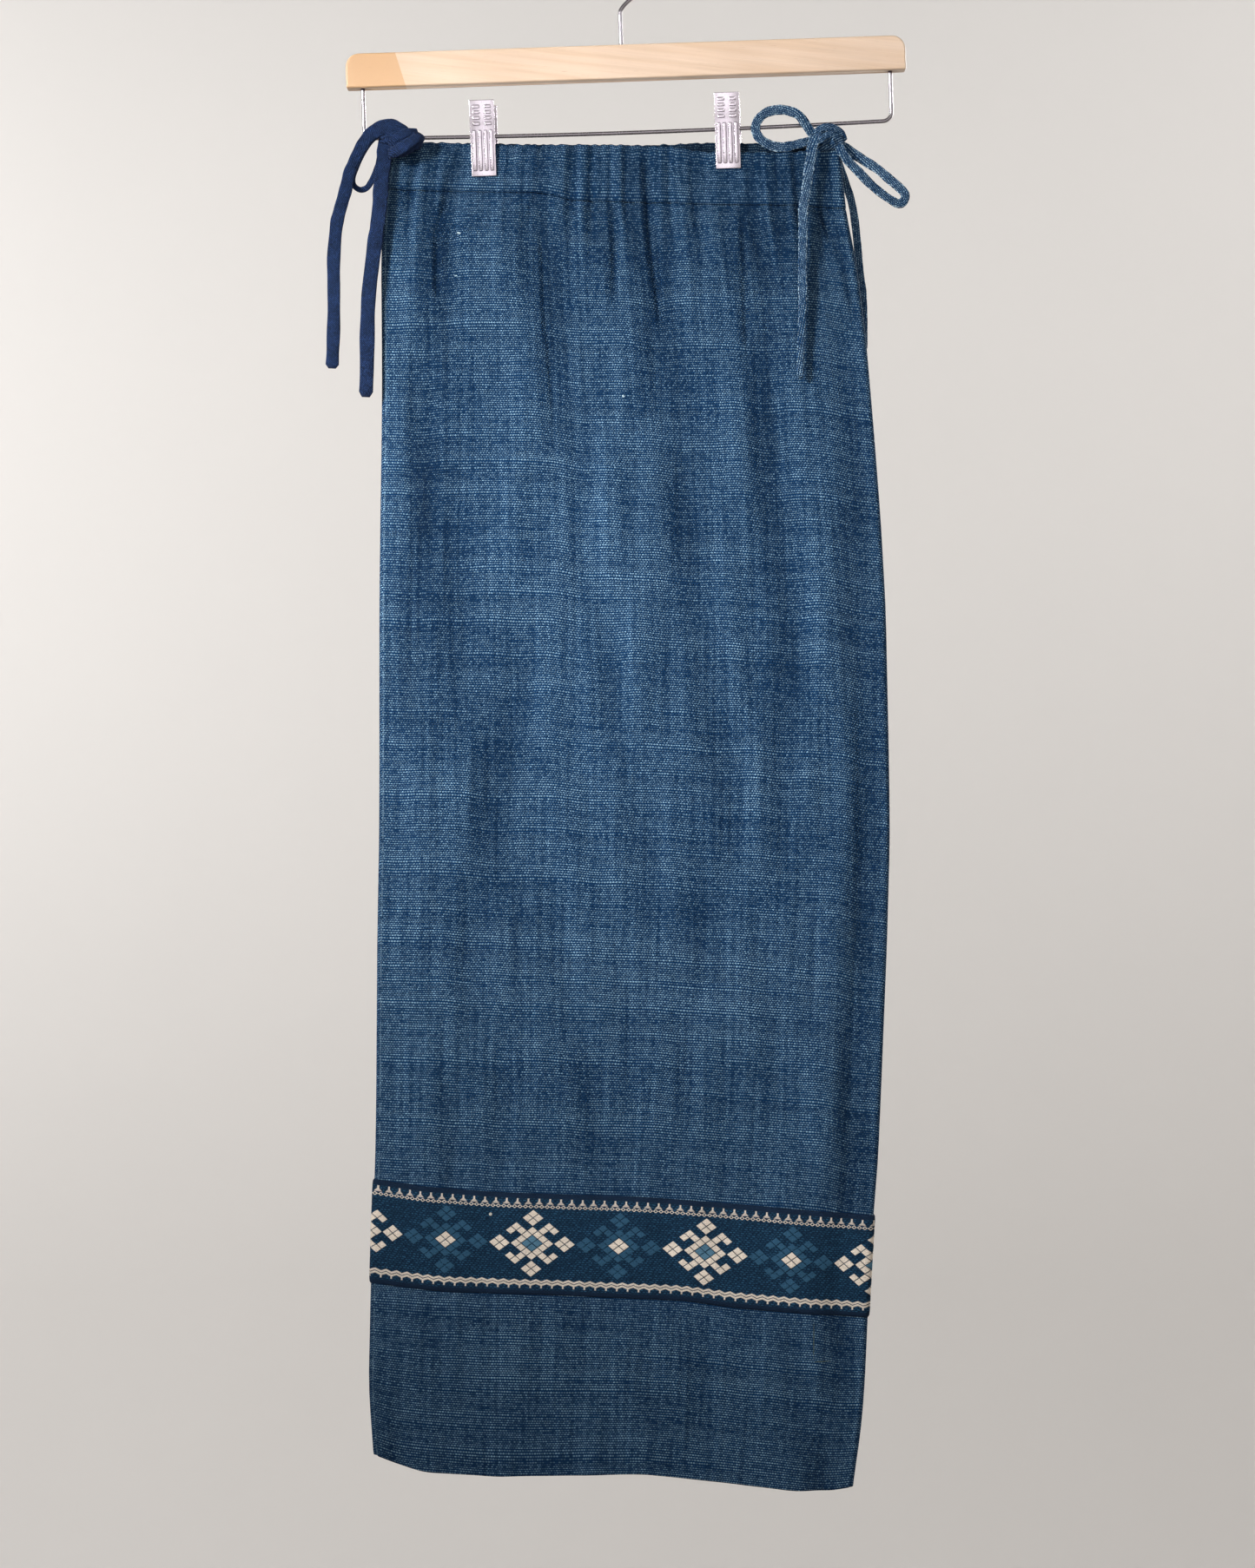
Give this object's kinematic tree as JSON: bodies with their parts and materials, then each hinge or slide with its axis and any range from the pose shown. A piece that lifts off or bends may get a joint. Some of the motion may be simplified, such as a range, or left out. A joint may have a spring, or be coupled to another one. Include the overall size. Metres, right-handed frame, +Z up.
{
  "type": "tube skirt on a clip hanger",
  "caption": "Indigo hand-woven tube skirt with a woven trim and tied drawstring, clipped flat to a wooden bar hanger.",
  "frame": {"origin": "inner top of the hanger's hook, where a rail or peg carries it", "axes": "+Z up, +X to the right as seen from the front, -Y out of the skirt's front"},
  "size_m": [0.3889, 0.0291, 1.0318],
  "materials": {
    "skirt_cloth": "hand-woven indigo cotton with pale flecks",
    "trim_band": "brocade band with lozenges in cream, blue and dark blue",
    "dark_tie": "dark blue folded cotton tape",
    "bar_wood": "pale lacquered wood",
    "bright_metal": "polished plating"
  },
  "bodies": {
    "root": {"waistband_front": "skirt_cloth", "waistband_back": "skirt_cloth", "skirt_hip_front": "skirt_cloth", "skirt_hip_back": "skirt_cloth", "skirt_front": "skirt_cloth", "skirt_back": "skirt_cloth", "trim_front": "trim_band", "trim_back": "trim_band", "bow_right_knot": "skirt_cloth", "bow_right_loop_a": "skirt_cloth", "bow_right_loop_b": "skirt_cloth", "bow_right_tail_front": "skirt_cloth", "bow_right_tail_back": "skirt_cloth", "bow_left_knot": "dark_tie", "bow_left_loop": "dark_tie", "bow_left_tail_1": "dark_tie", "bow_left_tail_2": "dark_tie", "hanger_bar": "bar_wood", "hanger_hook": "bright_metal", "hanger_frame": "bright_metal", "clip_left_front": "bright_metal", "clip_left_back": "bright_metal", "clip_left_spring": "bright_metal", "clip_right_front": "bright_metal", "clip_right_back": "bright_metal", "clip_right_spring": "bright_metal"}
  },
  "joints": []
}
